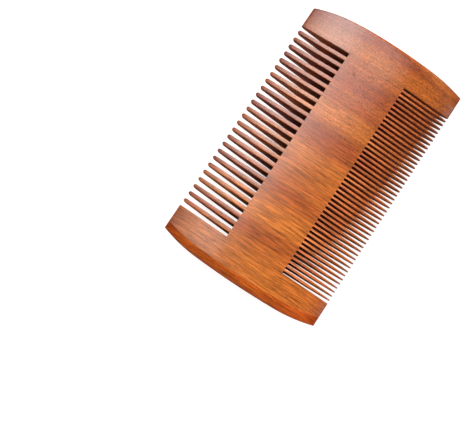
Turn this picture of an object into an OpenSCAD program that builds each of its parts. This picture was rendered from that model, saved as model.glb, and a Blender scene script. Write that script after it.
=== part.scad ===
// Two-sided wooden beard comb: coarse teeth along one long side, fine teeth along the other.
// It lies flat on its back: X runs across the comb (coarse side at -X), Y along it, Z up.
// The real comb is sawn from one blank. Here the blank is divided where the saw cuts end:
// a spine, a solid guard at each end, and every tooth as a solid of its own.

/* [Blank] */
// Width from coarse tips to fine tips
comb_w = 57.4;           // [52:0.2:70]
// Overall length at the middle of the bowed ends
comb_l = 94.8;           // [85:0.2:115]
// Thickness of the flat middle
comb_t = 9;              // [6:0.1:12]
// Thickness of the rounded edge at the tooth tips
edge_t = 1.8;            // [0.8:0.1:2.5]

/* [Bowed ends] */
// Radius of the shallow arc of each end, seen from above
bow_r = 150;             // [90:5:400]
// Radius of the sanded rim along the bowed ends
rim_r = 2.6;             // [1:0.1:2.8]

/* [Teeth] */
// Length of the toothed field between the two end guards
field_l = 72.5;          // [66:0.5:80]
// Number of coarse teeth
coarse_count = 25;       // [15:1:27]
// Number of fine teeth
fine_count = 46;         // [30:1:58]
// Width of a coarse saw cut
coarse_slot_w = 1.5;     // [1:0.05:1.7]
// Width of a fine saw cut
fine_slot_w = 0.84;      // [0.5:0.01:1.15]
// Distance from the centreline to the roots of the coarse teeth
coarse_root_x = 9.8;     // [7:0.1:14]
// Distance from the centreline to the roots of the fine teeth
fine_root_x = 11.3;      // [8:0.1:16]
// Part of a coarse tooth's length that narrows towards its tip
coarse_narrowing = 0.9;  // [0.2:0.05:0.95]
// Part of a fine tooth's length that narrows towards its tip
fine_narrowing = 0.5;    // [0.2:0.05:0.95]
// Radius of a coarse tip, seen from above
coarse_tip_r = 0.58;     // [0.2:0.02:0.66]
// Radius of a fine tip, seen from above
fine_tip_r = 0.19;       // [0.1:0.01:0.34]

/* [Hidden] */
$fn = 64;
disc_fn = 360;
wood = [0.72, 0.42, 0.25];
mid_z = comb_t / 2;
tip_x = comb_w / 2;
edge_r = edge_t / 2;
coarse_pitch = (field_l - coarse_slot_w) / coarse_count;
fine_pitch = (field_l - fine_slot_w) / fine_count;
coarse_tooth_w = coarse_pitch - coarse_slot_w;
fine_tooth_w = fine_pitch - fine_slot_w;

// Where a straight side that starts at [-run, rise] touches a round end of radius r, measured
// from the centre of that end
function touch_point(run, rise, r) =
    let (slope = atan2(rise, run) - asin(r / norm([run, rise])))
    r * [sin(slope), cos(slope)];

// Half of the cross-section, from an inner line to the rounded edge: flat up to the root line,
// then tapered evenly on both faces
module half_section(inner_x, root_x) {
    edge_x = tip_x - edge_r;
    touch = touch_point(edge_x - root_x, mid_z, edge_r);
    polygon([
        [inner_x, 0],
        [root_x, 0],
        [edge_x + touch.x, mid_z - touch.y],
        [edge_x + touch.x, mid_z + touch.y],
        [root_x, comb_t],
        [inner_x, comb_t]
    ]);
    translate([edge_x, mid_z]) circle(r = edge_r);
}

// Cross-section of the whole blank
module full_section() {
    half_section(0, fine_root_x);
    mirror([1, 0]) half_section(0, coarse_root_x);
}

// Carries a section drawn in X and Z along Y, centred on Y = 0
module along_y(length) {
    rotate([90, 0, 0]) linear_extrude(height = length, center = true) children();
}

// Round slab whose rim is rounded over at both faces
module rimmed_slab(r) {
    rotate_extrude($fn = disc_fn) {
        square([r - rim_r, comb_t]);
        translate([0, rim_r]) square([r, comb_t - 2 * rim_r]);
        translate([r - rim_r, rim_r]) circle(r = rim_r);
        translate([r - rim_r, comb_t - rim_r]) circle(r = rim_r);
    }
}

// Solid end of the blank at +Y, beyond the last tooth: the cross-section carried along Y and
// cut to the bowed, rounded rim
module end_guard() {
    intersection() {
        along_y(comb_l) full_section();
        translate([0, comb_l / 2 - bow_r, 0]) rimmed_slab(bow_r);
        translate([-tip_x, field_l / 2, 0]) cube([comb_w, (comb_l - field_l) / 2, comb_t]);
    }
}

// Outline of a tooth seen from above: parallel sides that then narrow evenly to a round tip
module tooth_outline(length, width, narrowing, tip_r) {
    half_w = width / 2;
    start_x = length * (1 - narrowing);
    end_x = length - tip_r;
    touch = touch_point(end_x - start_x, half_w, tip_r);
    polygon([
        [0, -half_w],
        [start_x, -half_w],
        [end_x + touch.x, -touch.y],
        [end_x + touch.x, touch.y],
        [start_x, half_w],
        [0, half_w]
    ]);
    translate([end_x, 0]) circle(r = tip_r);
}

// One tooth pointing to +X, from its root line to its tip
module tooth(root_x, width, narrowing, tip_r) {
    intersection() {
        along_y(width) half_section(root_x, root_x);
        translate([root_x, 0, 0])
            linear_extrude(height = comb_t)
                tooth_outline(tip_x - root_x, width, narrowing, tip_r);
    }
}

// Places a row of equal items along Y, centred on the toothed field
module row(count, pitch) {
    for (i = [0 : count - 1]) {
        translate([0, (i - (count - 1) / 2) * pitch, 0]) children();
    }
}

// Flat middle of the blank, between the two root lines and the two guards
module spine() {
    color(wood)
        translate([-coarse_root_x, -field_l / 2, 0])
            cube([coarse_root_x + fine_root_x, field_l, comb_t]);
}

// Solid end of the blank at +Y
module upper_end_guard() {
    color(wood) end_guard();
}

// Solid end of the blank at -Y
module lower_end_guard() {
    color(wood) mirror([0, 1, 0]) end_guard();
}

// Wide-spaced teeth along the -X side
module coarse_teeth() {
    color(wood)
        mirror([1, 0, 0])
            row(coarse_count, coarse_pitch)
                tooth(coarse_root_x, coarse_tooth_w, coarse_narrowing, coarse_tip_r);
}

// Close-spaced teeth along the +X side
module fine_teeth() {
    color(wood)
        row(fine_count, fine_pitch)
            tooth(fine_root_x, fine_tooth_w, fine_narrowing, fine_tip_r);
}

spine();
upper_end_guard();
lower_end_guard();
coarse_teeth();
fine_teeth();
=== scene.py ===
"""Looks of the two-sided wooden beard comb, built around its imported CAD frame.

Lengths are in metres in the row frame: X runs across the comb, with the coarse teeth at -X, Y runs
along it and Z is up. The comb lies on its back on a floor at Z = 0. Only the figure of the wood is
worked out in millimetres.
"""

import math
import random
from dataclasses import dataclass

import bmesh
import bpy
from mathutils import Matrix, Vector


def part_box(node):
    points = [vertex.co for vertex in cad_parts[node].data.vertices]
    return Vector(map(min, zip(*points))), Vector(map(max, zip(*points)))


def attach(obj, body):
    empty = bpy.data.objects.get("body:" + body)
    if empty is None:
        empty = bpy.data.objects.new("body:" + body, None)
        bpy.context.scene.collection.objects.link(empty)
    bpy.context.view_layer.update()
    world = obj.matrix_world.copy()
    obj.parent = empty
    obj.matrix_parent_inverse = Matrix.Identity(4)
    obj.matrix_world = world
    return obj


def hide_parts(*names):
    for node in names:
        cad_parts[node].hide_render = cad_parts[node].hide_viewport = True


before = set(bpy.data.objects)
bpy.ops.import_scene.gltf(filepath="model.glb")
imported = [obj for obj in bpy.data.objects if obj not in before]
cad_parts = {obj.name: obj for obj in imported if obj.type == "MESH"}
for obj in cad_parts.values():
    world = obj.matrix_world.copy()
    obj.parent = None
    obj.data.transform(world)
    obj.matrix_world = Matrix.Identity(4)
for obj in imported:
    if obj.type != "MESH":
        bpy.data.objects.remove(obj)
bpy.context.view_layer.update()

MM = 0.001

# Blank, from the CAD nodes
SPINE_LOW, SPINE_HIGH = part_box("spine")
GUARD_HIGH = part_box("upper_end_guard")[1]
TIP_X = GUARD_HIGH.x
END_Y = GUARD_HIGH.y
FIELD_HALF_L = SPINE_HIGH.y
MID_Z = SPINE_HIGH.z / 2

# Sanding of the blank
CROWN_R = 110 * MM  # the middle is very slightly domed on both faces
TAPER_POWER = 1.3  # above 1 the tapered faces are convex: they steepen towards the long edges
NOSE_POWER = 2.2  # how full the rounding at the long edges is
CIRCLE_POWER = 2.0  # fullness of a round end
EDGE_R = 0.16 * MM  # broken edge along every saw cut
EDGE_TO_HALF_T = 0.9  # the most that a broken edge takes of half the thickness
EDGE_TO_HALF_W = 0.17  # the most that it takes of half the width of a tooth
EDGE_GUARD = 0.12 * MM  # strip beside a rounding that keeps the flat face's shading flat

# Bowed ends: a flat arc in the middle that runs into a tighter one towards the corners
BOW_MIDDLE_R = 300 * MM
BOW_CORNER_R = 55 * MM
BOW_JOIN_X = 15 * MM

# Sanded rims of the bowed ends
RIM_FULLNESS = 0.93  # how far a rim is rounded over, as part of half the thickness
UPPER_RIM_COARSE_L = 0.6 * MM  # width of the upper rim at the coarse side
UPPER_RIM_FINE_L = 4.2 * MM
LOWER_RIM_COARSE_L = 2.6 * MM
LOWER_RIM_FINE_L = 3.2 * MM

# Small differences between the teeth
TOOTH_SEED = 11
TIP_SCATTER = 0.12 * MM
SWAY_SCATTER = 0.04 * MM
TIP_R_SCATTER = 0.08  # as part of the tip's radius
TIP_FULLNESS = 1.4  # length of a tooth's round tip, as a multiple of its half width

# Fineness of the meshes
LOFT_STEP = 1.5 * MM
NOSE_STEPS = 9  # over the quarter turn of a long edge
EDGE_STEPS = 3
RIM_STEPS = 7
WELD_GAP = 0.0005 * MM
SHARP_ANGLE = math.radians(38)

# Darkening towards the long edges, partly oil in the end grain and partly painted shade, and
# paleness of the teeth, partly wear and partly painted sheen, each from 0 to 1
OIL_AND_SHADE_POWER = 1.5  # the higher, the closer the oil and painted shade stay to the long edges
WEAR_AND_SHEEN_POWER = 1.3  # the higher, the closer the wear and painted sheen stay to the tooth roots
RIM_PAINTED_SHADE = 0.5  # most painted shade in the crease along the inner edge of a rim
RIM_PAINTED_SHADE_L = 2.2 * MM  # width of that dark band
RIM_OUTLINE_POWER = 8  # the higher, the narrower the painted dark outline along the outer edge

# Finishes, as places in the list of materials
POLISHED, SAWN, UPPER_RIM, LOWER_RIM = range(4)
WALL_FACING = 0.8  # how squarely a face must look along an axis to count as sawn
DRIFT_MARGIN = 1 * MM  # more than any saw cut drifts
ROOT_MARGIN = 0.01 * MM


@dataclass(frozen=True)
class Side:
    """One toothed long side of the comb."""

    facing: int  # sign of X
    root_x: float  # distance from the centreline to the tooth roots
    count: int
    slot_w: float
    narrowing: float  # part of a tooth's length that narrows towards its tip
    tip_r: float  # half the width of a tooth just behind its tip
    edge_half_t: float  # half thickness the taper would reach at the tips
    nose_l: float  # length of the final rounding at the long edge
    skew: float  # drift of the saw cuts towards +Y for each length cut
    oil_and_shade_l: float  # length over which the wood darkens towards the long edge, by oil and painted shade
    wear_and_sheen: float  # how pale the teeth are at their roots, by wear and a painted sheen

    @property
    def tooth_l(self):
        """Length of a tooth from its root to its tip."""
        return TIP_X - self.root_x

    @property
    def narrowing_l(self):
        """Length over which a tooth narrows towards its tip."""
        return self.narrowing * self.tooth_l


# The counts, slot widths and narrowing repeat those of the CAD model
COARSE = Side(
    facing=-1,
    root_x=-SPINE_LOW.x,
    count=25,
    slot_w=1.5 * MM,
    narrowing=0.9,
    tip_r=0.6 * MM,
    edge_half_t=0.9 * MM,
    nose_l=1.5 * MM,
    skew=0.034,
    oil_and_shade_l=10 * MM,
    wear_and_sheen=0.0,
)
FINE = Side(
    facing=1,
    root_x=SPINE_HIGH.x,
    count=46,
    slot_w=0.84 * MM,
    narrowing=0.5,
    tip_r=0.19 * MM,
    edge_half_t=0.85 * MM,
    nose_l=2.6 * MM,
    skew=0.004,
    oil_and_shade_l=6.5 * MM,
    wear_and_sheen=1.0,
)


# Shape of the blank ---------------------------------------------------------------------------


def bulge(distance, length, power):
    """Rises from 0 at an edge to 1 at the given length from it, as a quarter superellipse."""
    inside = min(max(distance / length, 0.0), 1.0)
    return (1 - (1 - inside) ** power) ** (1 / power)


def side_at(x):
    """The toothed side that x lies on."""
    return FINE if x > 0 else COARSE


def half_thickness(x):
    """Half the thickness of the blank at x, away from its bowed ends."""
    side = side_at(x)
    past_root = abs(x) - side.root_x
    if past_root < 0:
        return MID_Z - x * x / (2 * CROWN_R)
    # Past the root the slope of the crown goes on, and the taper adds to it
    root_slope = side.root_x / CROWN_R
    root_half_t = MID_Z - side.root_x * root_slope / 2
    taper = root_half_t - root_slope * side.tooth_l - side.edge_half_t
    tapered = root_half_t - root_slope * past_root
    tapered -= taper * (past_root / side.tooth_l) ** TAPER_POWER
    return tapered * bulge(TIP_X - abs(x), side.nose_l, NOSE_POWER)


def cut_drift(x):
    """How far a saw cut has wandered towards +Y at x, since the cuts are not quite square."""
    side = side_at(x)
    return side.skew * max(0.0, abs(x) - side.root_x)


def oil_and_shade_at(x):
    """How dark the wood at x is, from 0 to 1 at the long edge: partly oil taken up by the end
    grain, partly painted shade.
    """
    inside = (TIP_X - abs(x)) / side_at(x).oil_and_shade_l
    return max(0.0, 1 - inside) ** OIL_AND_SHADE_POWER


def wear_and_sheen_at(x):
    """How pale a tooth is at x, from wear and a painted sheen: most at its root, and not at all at
    its tip.
    """
    side = side_at(x)
    return side.wear_and_sheen * ((TIP_X - abs(x)) / side.tooth_l) ** WEAR_AND_SHEEN_POWER


def bow_y(x):
    """Y of the upper bowed end's outline at x."""
    join_sin = BOW_JOIN_X / BOW_MIDDLE_R
    if abs(x) <= BOW_JOIN_X:
        return END_Y - BOW_MIDDLE_R + math.sqrt(BOW_MIDDLE_R**2 - x * x)
    join_cos = math.sqrt(1 - join_sin**2)
    corner_sin = join_sin + (abs(x) - BOW_JOIN_X) / BOW_CORNER_R
    corner_cos = math.sqrt(1 - corner_sin**2)
    return END_Y - BOW_MIDDLE_R * (1 - join_cos) - BOW_CORNER_R * (join_cos - corner_cos)


def part_across(x):
    """Place across the comb, from 0 at the coarse tips to 1 at the fine tips."""
    return (x + TIP_X) / (2 * TIP_X)


def upper_rim_l(x):
    """Width of the sanded rim of the upper end: narrow at the coarse side, broad at the fine."""
    return UPPER_RIM_COARSE_L + (UPPER_RIM_FINE_L - UPPER_RIM_COARSE_L) * part_across(x) ** 2


def lower_rim_l(x):
    """Width of the sanded rim of the lower end, nearly even."""
    return LOWER_RIM_COARSE_L + (LOWER_RIM_FINE_L - LOWER_RIM_COARSE_L) * part_across(x)


# Mesh building --------------------------------------------------------------------------------


def arc(steps):
    """(sine, cosine) pairs that sweep a quarter turn."""
    turns = [math.pi / 2 * i / steps for i in range(steps + 1)]
    return [(math.sin(t), math.cos(t)) for t in turns]


def nose_stations(length):
    """Distances back from a rounded tip, closest together at the tip."""
    return [length * (1 - cosine) for _, cosine in arc(NOSE_STEPS)]


def spread(breaks, step):
    """The given values and evenly spaced ones between them, no further apart than step."""
    values = [breaks[0]]
    for start, end in zip(breaks, breaks[1:]):
        count = max(1, math.ceil((end - start) / step))
        values += [start + (end - start) * (i + 1) / count for i in range(count)]
    return values


def loft(bm, rings, cap_start, cap_end):
    """Skins rings of (x, y, z, darkening) points with quads.

    The darkening from oil and painted shade goes to a mesh attribute. Below 0 it stands for wear
    and painted sheen.
    """
    oil_and_shade = bm.verts.layers.float.get("oil_and_shade") or bm.verts.layers.float.new("oil_and_shade")
    rows = []
    for ring in rings:
        row = [bm.verts.new(point[:3]) for point in ring]
        for vert, point in zip(row, ring):
            vert[oil_and_shade] = point[3]
        rows.append(row)
    for row, following in zip(rows, rows[1:]):
        for i in range(len(row)):
            j = (i + 1) % len(row)
            bm.faces.new((row[i], row[j], following[j], following[i]))
    if cap_start:
        bm.faces.new(reversed(rows[0]))
    if cap_end:
        bm.faces.new(rows[-1])


def finish_index(face):
    """Finish of a face, from where it lies and which way it looks."""
    middle = face.calc_center_median()
    in_field = abs(middle.y) < FIELD_HALF_L + DRIFT_MARGIN
    at_root = abs(middle.x) < side_at(middle.x).root_x + ROOT_MARGIN
    is_slot_wall = in_field and abs(face.normal.y) > WALL_FACING
    is_slot_end = at_root and abs(face.normal.x) > WALL_FACING
    if is_slot_wall or is_slot_end:
        return SAWN
    if middle.y > bow_y(middle.x) - upper_rim_l(middle.x):
        return UPPER_RIM
    if middle.y < lower_rim_l(middle.x) - bow_y(middle.x):
        return LOWER_RIM
    return POLISHED


def finish_piece(name, bm, node, materials):
    """Cleans the mesh, makes it a piece that stands for a CAD node and gives it its finish."""
    bmesh.ops.remove_doubles(bm, verts=bm.verts, dist=WELD_GAP)
    bmesh.ops.recalc_face_normals(bm, faces=bm.faces)
    for face in bm.faces:
        face.material_index = finish_index(face)
    mesh = bpy.data.meshes.new(name)
    bm.to_mesh(mesh)
    bm.free()
    mesh.polygons.foreach_set("use_smooth", [True] * len(mesh.polygons))
    mesh.set_sharp_from_angle(angle=SHARP_ANGLE)
    for material in materials:
        mesh.materials.append(material)
    piece = bpy.data.objects.new(name, mesh)
    bpy.context.scene.collection.objects.link(piece)
    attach(piece, "root")
    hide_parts(node)


def spine_ring(x):
    """Rectangle of the flat middle at x."""
    half_t = half_thickness(x)
    corners = [(-1, -1), (1, -1), (1, 1), (-1, 1)]
    return [(x, FIELD_HALF_L * a, MID_Z + half_t * b, 0.0) for a, b in corners]


def build_spine(name, node, materials):
    """Flat middle plate between the tooth roots."""
    stations = spread([-COARSE.root_x, FINE.root_x], LOFT_STEP)
    bm = bmesh.new()
    loft(bm, [spine_ring(x) for x in stations], True, True)
    finish_piece(name, bm, node, materials)


def rim_crease_shade(x, end):
    """How much painted shade lies in the crease along the inner edge of a rim at x.

    It grows towards the fine side on the upper end and towards the coarse side on the lower.
    """
    return RIM_PAINTED_SHADE * max(0.0, end * x / TIP_X)


def guard_ring(x, rim_l, end):
    """Section of a solid end at x, from its saw-cut wall over the top to the rim and back."""
    half_t = half_thickness(x)
    beside_slot = abs(x) > side_at(x).root_x
    edge = min(EDGE_R, EDGE_TO_HALF_T * half_t) * beside_slot
    drop = RIM_FULLNESS * half_t
    width = rim_l(x)
    oil_and_shade = oil_and_shade_at(x)
    # Painted shade in the crease along the inner edge of the rim
    rim_shade = max(oil_and_shade, rim_crease_shade(x, end))
    wall_y = FIELD_HALF_L + end * cut_drift(x)
    rim_y = bow_y(x) - width
    top = [
        (wall_y + edge * (1 - cosine), half_t - edge * (1 - sine), oil_and_shade)
        for sine, cosine in arc(EDGE_STEPS)
    ]
    top.append((wall_y + edge + EDGE_GUARD, half_t, oil_and_shade))
    top.append((rim_y - RIM_PAINTED_SHADE_L, half_t, oil_and_shade))
    top.append((rim_y - EDGE_GUARD, half_t, rim_shade))
    for sine, cosine in arc(RIM_STEPS):
        # Painted dark outline along the outer edge of the rim
        rim_edge_shade = max(oil_and_shade, rim_shade * (1 - sine), sine**RIM_OUTLINE_POWER)
        top.append((rim_y + width * sine, half_t - drop * (1 - cosine), rim_edge_shade))
    ring = [(x, end * y, MID_Z + z, oil_shaded) for y, z, oil_shaded in top]
    ring += [(x, end * y, MID_Z - z, oil_shaded) for y, z, oil_shaded in reversed(top)]
    return ring


def guard_stations():
    """X of every section of a solid end."""
    breaks = [-TIP_X + COARSE.nose_l, -COARSE.root_x, FINE.root_x, TIP_X - FINE.nose_l]
    left = [-TIP_X + back for back in nose_stations(COARSE.nose_l)]
    right = [TIP_X - back for back in reversed(nose_stations(FINE.nose_l))]
    return left[:-1] + spread(breaks, LOFT_STEP) + right[1:]


def build_guard(name, node, end, rim_l, materials):
    """Solid bowed end at +Y (end = 1) or -Y (end = -1)."""
    bm = bmesh.new()
    loft(bm, [guard_ring(x, rim_l, end) for x in guard_stations()], False, False)
    finish_piece(name, bm, node, materials)


def tooth_half_width(back, side, half_w, tip_r):
    """Half the width of a tooth at a distance back from its tip."""
    along = max(0.0, 1 - back / side.narrowing_l)
    flank = half_w - (half_w - tip_r) * along
    return flank * bulge(back, TIP_FULLNESS * tip_r, CIRCLE_POWER)


def tooth_ring(x, centre_y, half_w):
    """Rounded rectangle of a tooth at x."""
    half_t = half_thickness(x)
    edge = min(EDGE_R, EDGE_TO_HALF_W * half_w, EDGE_TO_HALF_T * half_t)
    # Darkening from oil and painted shade, less the paleness from wear and painted sheen
    oil_and_shade = oil_and_shade_at(x) - wear_and_sheen_at(x)
    quarter = [
        (half_w - edge * (1 - cosine), half_t - edge * (1 - sine))
        for sine, cosine in arc(EDGE_STEPS)
    ]
    outline = list(quarter)
    outline += [(-y, z) for y, z in reversed(quarter)]
    outline += [(-y, -z) for y, z in quarter]
    outline += [(y, -z) for y, z in reversed(quarter)]
    return [(x, centre_y + y, MID_Z + z, oil_and_shade) for y, z in outline]


def tooth_stations(side):
    """Distances back from the tip at which a tooth is sectioned, from root to tip."""
    body = spread(sorted([side.nose_l, side.narrowing_l, side.tooth_l]), LOFT_STEP)
    return list(reversed(nose_stations(side.nose_l) + body[1:]))


def add_tooth(bm, side, centre_y, half_w, rng):
    """One tooth, with the small differences that sanding leaves at its tip."""
    tip_back = rng.uniform(0, TIP_SCATTER)
    sway = rng.uniform(-SWAY_SCATTER, SWAY_SCATTER)
    tip_r = side.tip_r * rng.uniform(1 - TIP_R_SCATTER, 1 + TIP_R_SCATTER)
    rings = []
    for back in tooth_stations(side):
        bend = (1 - back / side.tooth_l) ** 2
        x = side.facing * (TIP_X - back - tip_back * bend)
        y = centre_y + cut_drift(x) + sway * bend
        rings.append(tooth_ring(x, y, tooth_half_width(back, side, half_w, tip_r)))
    loft(bm, rings, True, False)


def build_tooth_row(name, node, side, materials):
    """All teeth of one side, evenly spaced between the two solid ends."""
    rng = random.Random(TOOTH_SEED)
    pitch = (2 * FIELD_HALF_L - side.slot_w) / side.count
    half_w = (pitch - side.slot_w) / 2
    bm = bmesh.new()
    for i in range(side.count):
        add_tooth(bm, side, (i - (side.count - 1) / 2) * pitch, half_w, rng)
    finish_piece(name, bm, node, materials)


# Shader nodes ---------------------------------------------------------------------------------


def add_node(tree, kind, inputs=None, **settings):
    """A shader node, with its inputs set to values or linked from sockets."""
    made = tree.nodes.new(kind)
    for name, value in settings.items():
        setattr(made, name, value)
    for name, value in (inputs or {}).items():
        if isinstance(value, bpy.types.NodeSocket):
            tree.links.new(value, made.inputs[name])
        else:
            made.inputs[name].default_value = value
    return made


def calc(tree, operation, a, b=0.0):
    """Result of one math operation."""
    return add_node(tree, "ShaderNodeMath", {0: a, 1: b}, operation=operation).outputs[0]


def total(tree, *terms):
    """Sum of several values."""
    result = terms[0]
    for term in terms[1:]:
        result = calc(tree, "ADD", result, term)
    return result


def product(tree, *factors):
    """Product of several values."""
    result = factors[0]
    for factor in factors[1:]:
        result = calc(tree, "MULTIPLY", result, factor)
    return result


def one_minus(tree, value):
    """One minus the value."""
    return calc(tree, "SUBTRACT", 1.0, value)


def remap(tree, value, low, high, to_low=0.0, to_high=1.0):
    """Smoothly takes low..high to to_low..to_high and holds it beyond."""
    inputs = {
        "Value": value,
        "From Min": low,
        "From Max": high,
        "To Min": to_low,
        "To Max": to_high,
    }
    made = add_node(tree, "ShaderNodeMapRange", inputs, interpolation_type="SMOOTHSTEP")
    return made.outputs[0]


def spread_noise(tree, value, low, high):
    """Takes noise, which hardly leaves 0.3 to 0.7, to low..high."""
    return remap(tree, value, 0.3, 0.7, low, high)


def vector_calc(tree, operation, a, b):
    """Result of one vector operation."""
    return add_node(tree, "ShaderNodeVectorMath", {0: a, 1: b}, operation=operation).outputs[0]


def object_place(tree):
    """Place on the comb in metres."""
    return add_node(tree, "ShaderNodeTexCoord").outputs["Object"]


def axis(tree, vector, name):
    """One axis of a vector."""
    return add_node(tree, "ShaderNodeSeparateXYZ", {0: vector}).outputs[name]


def noise(tree, place, scale, detail=2.0, roughness=0.5, output="Fac"):
    """Fractal noise around 0.5, with a scale per axis."""
    inputs = {
        "Vector": vector_calc(tree, "MULTIPLY", place, scale),
        "Scale": 1.0,
        "Detail": detail,
        "Roughness": roughness,
    }
    return add_node(tree, "ShaderNodeTexNoise", inputs).outputs[output]


def blend_colours(tree, factor, first, second, blend_type="MIX"):
    """Mixes two colours. Inputs 6 and 7 and output 2 are the mix node's colour sockets."""
    inputs = {0: factor, 6: first, 7: second}
    made = add_node(tree, "ShaderNodeMix", inputs, data_type="RGBA", blend_type=blend_type)
    return made.outputs[2]


def tinted(tree, colour, amount, tint):
    """Colour multiplied by a tint, as far as amount goes from 0 to 1."""
    return blend_colours(tree, amount, colour, tint, "MULTIPLY")


def shaded(tree, colour, value):
    """Colour multiplied by a grey value."""
    inputs = {"Red": value, "Green": value, "Blue": value}
    grey = add_node(tree, "ShaderNodeCombineColor", inputs).outputs[0]
    return tinted(tree, colour, 1.0, grey)


def add_bump(tree, shader, height, distance):
    """Gives a shader a bumpy surface. Distance is what a height of 1 stands for, in metres."""
    inputs = {"Height": height, "Distance": distance, "Strength": 1.0}
    bump = add_node(tree, "ShaderNodeBump", inputs)
    tree.links.new(bump.outputs["Normal"], shader.inputs["Normal"])


def new_material(name):
    """Empty node material: itself, its tree and its shader."""
    material = bpy.data.materials.new(name)
    material.use_nodes = True
    return material, material.node_tree, material.node_tree.nodes["Principled BSDF"]


# Figure of the wood, in millimetres -----------------------------------------------------------


@dataclass(frozen=True)
class Bands:
    """Growth bands that follow one another along Y."""

    period: float
    crest_y: float  # where one of the bands is palest
    strength: float


BROAD_BANDS = Bands(period=20.0, crest_y=-3.0, strength=0.3)
SLIM_BANDS = Bands(period=12.5, crest_y=1.75, strength=0.16)
TONE_SLOPE = -0.005  # change of tone for each millimetre along Y
BAND_FADING_X = (6.0, 20.0)  # over this stretch the bands fade
LEAST_BANDS = 0.25  # strength that they keep beyond it

# Features for each millimetre along X, Y and Z
WANDER_SCALE = (0.02, 0.03, 0.03)
STRAY_BANDS_SCALE = (0.012, 0.2, 0.1)
LINES_SCALE = (0.035, 1.4, 0.2)
FIBRES_SCALE = (0.14, 3.2, 0.6)
MOTTLE_SCALE = (1.8, 3.2, 3.2)
PORES_SCALE = (0.3, 2.1, 0.4)

WANDER = (0, 2, 2)  # how far the growth lines stray along each axis
LINE_TONES = (0.8, 1.17)
FIBRE_DEPTH = 0.42
MOTTLE_DEPTH = 0.36
PORE_DEPTH = 0.5
PORE_EDGE = (0.1, 0.3)  # where a pore fades out, as distances from its middle

FIGURE_Y = (-10.0, 36.0)  # over this stretch straight fibres give way to mottle
LEAST_MOTTLE = 0.3
LEAST_FIBRES = 0.4
FINE_SHADE = 0.00014  # brightness lost on the fine side, for each square millimetre of X times Y
COARSE_SHADE_X = (-14.0, -4.0)  # over this stretch the brightness rises from COARSE_TONE to 1
COARSE_TONE = 0.86

# Colours, as linear red, green, blue and alpha
DARK_WOOD = (0.33, 0.063, 0.013, 1)
LIGHT_WOOD = (0.53, 0.15, 0.024, 1)


def grain_space(tree):
    """Place in millimetres, and the same bent slowly so that growth lines wander a little."""
    millimetres = vector_calc(tree, "MULTIPLY", object_place(tree), (1 / MM, 1 / MM, 1 / MM))
    drift = noise(tree, millimetres, WANDER_SCALE, detail=1.0, output="Color")
    centred = vector_calc(tree, "ADD", drift, (-0.5, -0.5, -0.5))
    wander = vector_calc(tree, "MULTIPLY", centred, WANDER)
    return millimetres, vector_calc(tree, "ADD", millimetres, wander)


def growth_bands(tree, y, bands):
    """Swings evenly along y, between the bands' strength at each crest and its negative."""
    past_crest = calc(tree, "SUBTRACT", y, bands.crest_y)
    swing = calc(tree, "COSINE", product(tree, past_crest, 2 * math.pi / bands.period))
    return product(tree, swing, bands.strength)


def band_tone(tree, bent, along_x, along_y):
    """Tone of the growth bands, from 0 where they are darkest to 1 where they are palest."""
    bent_y = axis(tree, bent, "Y")
    broad = growth_bands(tree, bent_y, BROAD_BANDS)
    slim = growth_bands(tree, bent_y, SLIM_BANDS)
    stray = noise(tree, bent, STRAY_BANDS_SCALE)
    slope = product(tree, along_y, TONE_SLOPE)
    tone = remap(tree, total(tree, broad, slim, stray, slope), 0.0, 1.0)
    strength = remap(tree, along_x, *BAND_FADING_X, 1.0, LEAST_BANDS)
    return total(tree, 0.5, product(tree, calc(tree, "SUBTRACT", tone, 0.5), strength))


def side_tone(tree, along_x, along_y):
    """Slow changes of brightness: the coarse side and the upper fine corner are darker."""
    fine_x = calc(tree, "MAXIMUM", along_x, 0.0)
    fine_tone = one_minus(tree, product(tree, fine_x, along_y, FINE_SHADE))
    return product(tree, fine_tone, remap(tree, along_x, *COARSE_SHADE_X, COARSE_TONE, 1.0))


def wood_grain(tree):
    """Colour of the wood, and the sockets of its fibres and pores. The grain runs along X."""
    millimetres, bent = grain_space(tree)
    along_x = axis(tree, millimetres, "X")
    along_y = axis(tree, millimetres, "Y")

    lines = noise(tree, bent, LINES_SCALE, detail=3.0, roughness=0.6)
    fibres = noise(tree, bent, FIBRES_SCALE, roughness=0.6)
    mottle = noise(tree, millimetres, MOTTLE_SCALE)
    dashes = vector_calc(tree, "MULTIPLY", bent, PORES_SCALE)
    cells = add_node(tree, "ShaderNodeTexVoronoi", {"Vector": dashes, "Scale": 1.0})
    pores = remap(tree, cells.outputs["Distance"], *PORE_EDGE, 1.0, 0.0)

    straight = remap(tree, along_y, *FIGURE_Y, 1.0, LEAST_FIBRES)
    figured = remap(tree, along_y, *FIGURE_Y, LEAST_MOTTLE, 1.0)
    fibre_part = product(tree, spread_noise(tree, fibres, -FIBRE_DEPTH, FIBRE_DEPTH), straight)
    mottle_part = product(tree, spread_noise(tree, mottle, -MOTTLE_DEPTH, MOTTLE_DEPTH), figured)
    texture = total(tree, 1.0, fibre_part, mottle_part)
    line_tone = spread_noise(tree, lines, *LINE_TONES)
    pore_tone = one_minus(tree, product(tree, pores, PORE_DEPTH))
    tone = product(tree, line_tone, texture, pore_tone, side_tone(tree, along_x, along_y))

    band = band_tone(tree, bent, along_x, along_y)
    colour = blend_colours(tree, band, DARK_WOOD, LIGHT_WOOD)
    return shaded(tree, colour, tone), fibres, pores


# Finishes -------------------------------------------------------------------------------------

# Tints of the darkening from oil and painted shade, and of the paleness from wear and painted
# sheen
OIL_AND_SHADE_TINT = (0.62, 0.46, 0.36, 1)
WORN_SHEEN_TINT = (1.33, 1.5, 3.0, 1)
ROOT_SHADE_L = 8 * MM  # how far the painted shade at the bottom of a saw cut reaches

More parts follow.
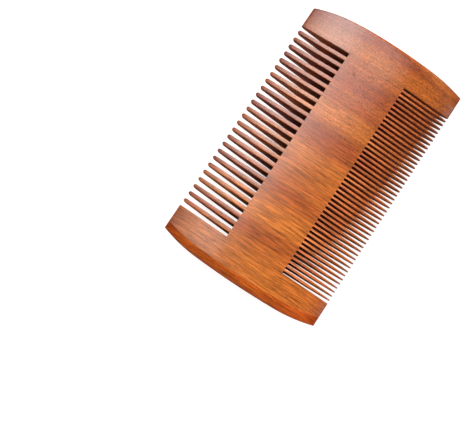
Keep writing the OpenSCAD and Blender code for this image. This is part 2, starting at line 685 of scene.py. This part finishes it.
POLISH_ROUGHNESS = 0.21
FIBRE_ROUGHNESS = 0.02
PORE_ROUGHNESS = 0.06
SOAK_ROUGHNESS = 0.3
OILED_WOOD_IOR = 1.47
FIBRE_HEIGHT = 0.5  # height of a fibre, as part of the depth of a pore
PORE_BUMP = 0.02 * MM

# Film of wax on the coarse side, thinner towards the lower end
WAX_FADING_X = (-16 * MM, -4 * MM)
WAX_FADING_Y = (-40 * MM, -5 * MM)
WAX_WEIGHT = 0.8
LOWER_WAX = 0.2  # part of that weight left at the lower end
WAX_ROUGHNESS = 0.25

MATT_ROUGHNESS = (0.7, 0.9)


@dataclass(frozen=True)
class MattFinish:
    """Wood left matt, with the marks of the tool that shaped it."""

    name: str
    # For some finishes the tint is painted light: a grey sheen on the saw cuts, shade on the lower
    # rim
    tint: tuple
    root_shade_tone: float  # painted shade at the bottom of the saw cuts, as a brightness
    specular: float
    marks_scale: tuple  # marks for each millimetre along X, Y and Z
    marks_depth: float


# Saw cuts: the bluish tint paints in a grey sheen on the walls, and the root tone paints shade at
# the bottom of the cuts
SAWN_PAINTED_LIGHT_FINISH = MattFinish(
    name="sawn_redwood_painted_light",
    tint=(0.93, 1.1, 1.8, 1),
    root_shade_tone=0.5,
    specular=0.3,
    marks_scale=(2.5, 0.5, 0.35),
    marks_depth=0.06 * MM,
)
UPPER_RIM_FINISH = MattFinish(
    name="upper_rim_redwood",
    tint=(1.12, 1.2, 1.05, 1),
    root_shade_tone=1.0,
    specular=0.25,
    marks_scale=(0.4, 1.5, 1.5),
    marks_depth=0.03 * MM,
)
# The lower rim's dark tint is painted shade
LOWER_RIM_SHADED_FINISH = MattFinish(
    name="lower_rim_shaded_redwood",
    tint=(0.94, 0.64, 0.42, 1),
    root_shade_tone=1.0,
    specular=0.1,
    marks_scale=(0.4, 1.5, 1.5),
    marks_depth=0.03 * MM,
)


def oil_shade_and_wear_sheen(tree):
    """How dark from oil and painted shade, and how pale from wear and painted sheen, the surface
    is, each from 0 to 1.
    """
    signed = add_node(tree, "ShaderNodeAttribute", attribute_name="oil_and_shade").outputs["Fac"]
    oil_and_shade = calc(tree, "MAXIMUM", signed, 0.0)
    return oil_and_shade, calc(tree, "SUBTRACT", oil_and_shade, signed)


def wax_film(tree, oil_and_shade):
    """Weight of the wax film. Wood darkened by oil and painted shade has none."""
    place = object_place(tree)
    waxed = remap(tree, axis(tree, place, "X"), *WAX_FADING_X, WAX_WEIGHT, 0.0)
    kept = remap(tree, axis(tree, place, "Y"), *WAX_FADING_Y, LOWER_WAX, 1.0)
    return product(tree, waxed, kept, one_minus(tree, oil_and_shade))


def polished_material():
    """Oiled and polished reddish hardwood, for the broad faces and the tops of the teeth."""
    material, tree, shader = new_material("polished_redwood")
    grain, fibres, pores = wood_grain(tree)
    oil_and_shade, wear_and_sheen = oil_shade_and_wear_sheen(tree)
    # Paleness from wear and a painted sheen, then darkening from oil and painted shade
    worn_sheen = tinted(tree, grain, wear_and_sheen, WORN_SHEEN_TINT)
    tree.links.new(tinted(tree, worn_sheen, oil_and_shade, OIL_AND_SHADE_TINT), shader.inputs["Base Color"])
    fibre_rough = product(tree, fibres, FIBRE_ROUGHNESS)
    pore_rough = product(tree, pores, PORE_ROUGHNESS)
    soak_rough = product(tree, oil_and_shade, SOAK_ROUGHNESS)
    rough = total(tree, POLISH_ROUGHNESS, fibre_rough, pore_rough, soak_rough)
    tree.links.new(rough, shader.inputs["Roughness"])
    shader.inputs["IOR"].default_value = OILED_WOOD_IOR
    tree.links.new(wax_film(tree, oil_and_shade), shader.inputs["Coat Weight"])
    shader.inputs["Coat Roughness"].default_value = WAX_ROUGHNESS
    height = calc(tree, "SUBTRACT", product(tree, fibres, FIBRE_HEIGHT), pores)
    add_bump(tree, shader, height, PORE_BUMP)
    return material


def root_shaded(tree, colour, root_shade_tone):
    """Colour with painted shade at the bottom of the saw cuts, where its brightness falls to the
    given root tone.
    """
    from_middle = calc(tree, "ABSOLUTE", axis(tree, object_place(tree), "X"))
    far_x = COARSE.root_x + ROOT_SHADE_L
    return shaded(tree, colour, remap(tree, from_middle, COARSE.root_x, far_x, root_shade_tone, 1.0))


def matt_material(finish):
    """The same wood in one of the matt finishes."""
    material, tree, shader = new_material(finish.name)
    oil_shaded = tinted(tree, wood_grain(tree)[0], oil_shade_and_wear_sheen(tree)[0], OIL_AND_SHADE_TINT)
    # The finish's tint, which paints a grey sheen on the saw cuts and shade on the lower rim, then
    # painted shade at the bottom of the saw cuts
    colour = root_shaded(tree, tinted(tree, oil_shaded, 1.0, finish.tint), finish.root_shade_tone)
    tree.links.new(colour, shader.inputs["Base Color"])
    shader.inputs["Specular IOR Level"].default_value = finish.specular
    marks = noise(tree, grain_space(tree)[0], finish.marks_scale)
    tree.links.new(spread_noise(tree, marks, *MATT_ROUGHNESS), shader.inputs["Roughness"])
    add_bump(tree, shader, marks, finish.marks_depth)
    return material


# Stage ----------------------------------------------------------------------------------------

# Camera at the photograph's viewing angle
CAMERA_EYE = Vector((0.0185, -0.0615, 0.2855))
CAMERA_AIM = Vector((-0.0119, -0.0300, 0.0045))
CAMERA_TURN = math.radians(33.7)
CAMERA_LENS = 67.8
SENSOR_W = 36

FLOOR_HALF_W = 12.0
FLOOR_COLOUR = (0.3, 0.3, 0.3, 1)
FLOOR_GLOW = 0.9

# Brightness of the surroundings. Height goes from -1 straight down to 1 straight up.
HORIZON = (-0.03, -0.005)
BELOW_HORIZON = 0.03  # part of the brightness left below the horizon
SKY_FADING = (0.1, 0.9)
LOW_SKY = 0.9
TOP_SKY = 0.06

SOFTBOX_DISTANCE = 1.6


@dataclass(frozen=True)
class Softbox:
    """Rectangular light that faces the comb."""

    name: str
    direction: tuple  # from the comb
    width: float
    height: float
    brightness: float  # its radiance, with white paper at 1


SOFTBOXES = [
    Softbox("key_softbox", direction=(-0.54, 0.65, 1.0), width=1.3, height=1.6, brightness=4.8),
    Softbox("side_softbox", direction=(0.85, 0.5, 0.5), width=1.1, height=1.1, brightness=2.7),
    Softbox("fill_softbox", direction=(0.35, -0.8, 0.6), width=1.1, height=1.1, brightness=0.7),
]


def floor_material():
    """White light table: a matt floor that also glows, so that saw cuts stay bright."""
    material, _, shader = new_material("light_table")
    shader.inputs["Base Color"].default_value = FLOOR_COLOUR
    shader.inputs["Roughness"].default_value = 0.9
    shader.inputs["Specular IOR Level"].default_value = 0.0
    shader.inputs["Emission Color"].default_value = (1, 1, 1, 1)
    shader.inputs["Emission Strength"].default_value = FLOOR_GLOW
    return material


def add_floor():
    """Plain white floor that the comb lies on. It is kept out of the reflections in the wood."""
    bm = bmesh.new()
    bmesh.ops.create_grid(bm, x_segments=1, y_segments=1, size=FLOOR_HALF_W)
    mesh = bpy.data.meshes.new("floor")
    bm.to_mesh(mesh)
    bm.free()
    mesh.materials.append(floor_material())
    floor = bpy.data.objects.new("floor", mesh)
    floor.visible_glossy = False
    bpy.context.scene.collection.objects.link(floor)


def add_softbox(box):
    """One softbox, at the set distance from the middle of the comb's footprint."""
    light = bpy.data.lights.new(box.name, "AREA")
    light.shape = "RECTANGLE"
    light.size = box.width
    light.size_y = box.height
    light.energy = box.brightness * math.pi * box.width * box.height
    softbox = bpy.data.objects.new(box.name, light)
    softbox.location = Vector(box.direction).normalized() * SOFTBOX_DISTANCE
    softbox.rotation_mode = "QUATERNION"
    softbox.rotation_quaternion = (-softbox.location).to_track_quat("-Z", "Y")
    bpy.context.scene.collection.objects.link(softbox)


def add_sky():
    """White surroundings, dark below the horizon and dimmer overhead than low down."""
    world = bpy.data.worlds.new("studio")
    bpy.context.scene.world = world
    world.use_nodes = True
    tree = world.node_tree
    height = axis(tree, add_node(tree, "ShaderNodeTexCoord").outputs["Generated"], "Z")
    horizon = remap(tree, height, *HORIZON, BELOW_HORIZON, 1.0)
    fading = remap(tree, height, *SKY_FADING, LOW_SKY, TOP_SKY)
    background = tree.nodes["Background"]
    tree.links.new(product(tree, horizon, fading), background.inputs["Strength"])
    background.inputs["Color"].default_value = (1, 1, 1, 1)


def add_camera():
    """Camera at the photograph's viewing angle, turned so that the comb leans to the right."""
    forward = (CAMERA_AIM - CAMERA_EYE).normalized()
    up_hint = Vector((-math.sin(CAMERA_TURN), math.cos(CAMERA_TURN), 0))
    right = forward.cross(up_hint).normalized()
    up = right.cross(forward)
    turned = Matrix((right, up, -forward)).transposed()
    data = bpy.data.cameras.new("camera")
    data.lens = CAMERA_LENS
    data.sensor_width = SENSOR_W
    data.clip_start = 10 * MM
    camera = bpy.data.objects.new("camera", data)
    camera.matrix_world = Matrix.Translation(CAMERA_EYE) @ turned.to_4x4()
    bpy.context.scene.collection.objects.link(camera)
    bpy.context.scene.camera = camera


# The comb on its stage ------------------------------------------------------------------------

add_camera()
add_floor()
add_sky()
for box in SOFTBOXES:
    add_softbox(box)
bpy.context.scene.view_settings.view_transform = "Standard"

# In the order of the finishes' numbers
woods = [
    polished_material(),
    matt_material(SAWN_PAINTED_LIGHT_FINISH),
    matt_material(UPPER_RIM_FINISH),
    matt_material(LOWER_RIM_SHADED_FINISH),
]
build_spine("spine_plate", "spine", woods)
build_guard("upper_guard", "upper_end_guard", 1, upper_rim_l, woods)
build_guard("lower_guard", "lower_end_guard", -1, lower_rim_l, woods)
build_tooth_row("coarse_tooth_row", "coarse_teeth", COARSE, woods)
build_tooth_row("fine_tooth_row", "fine_teeth", FINE, woods)
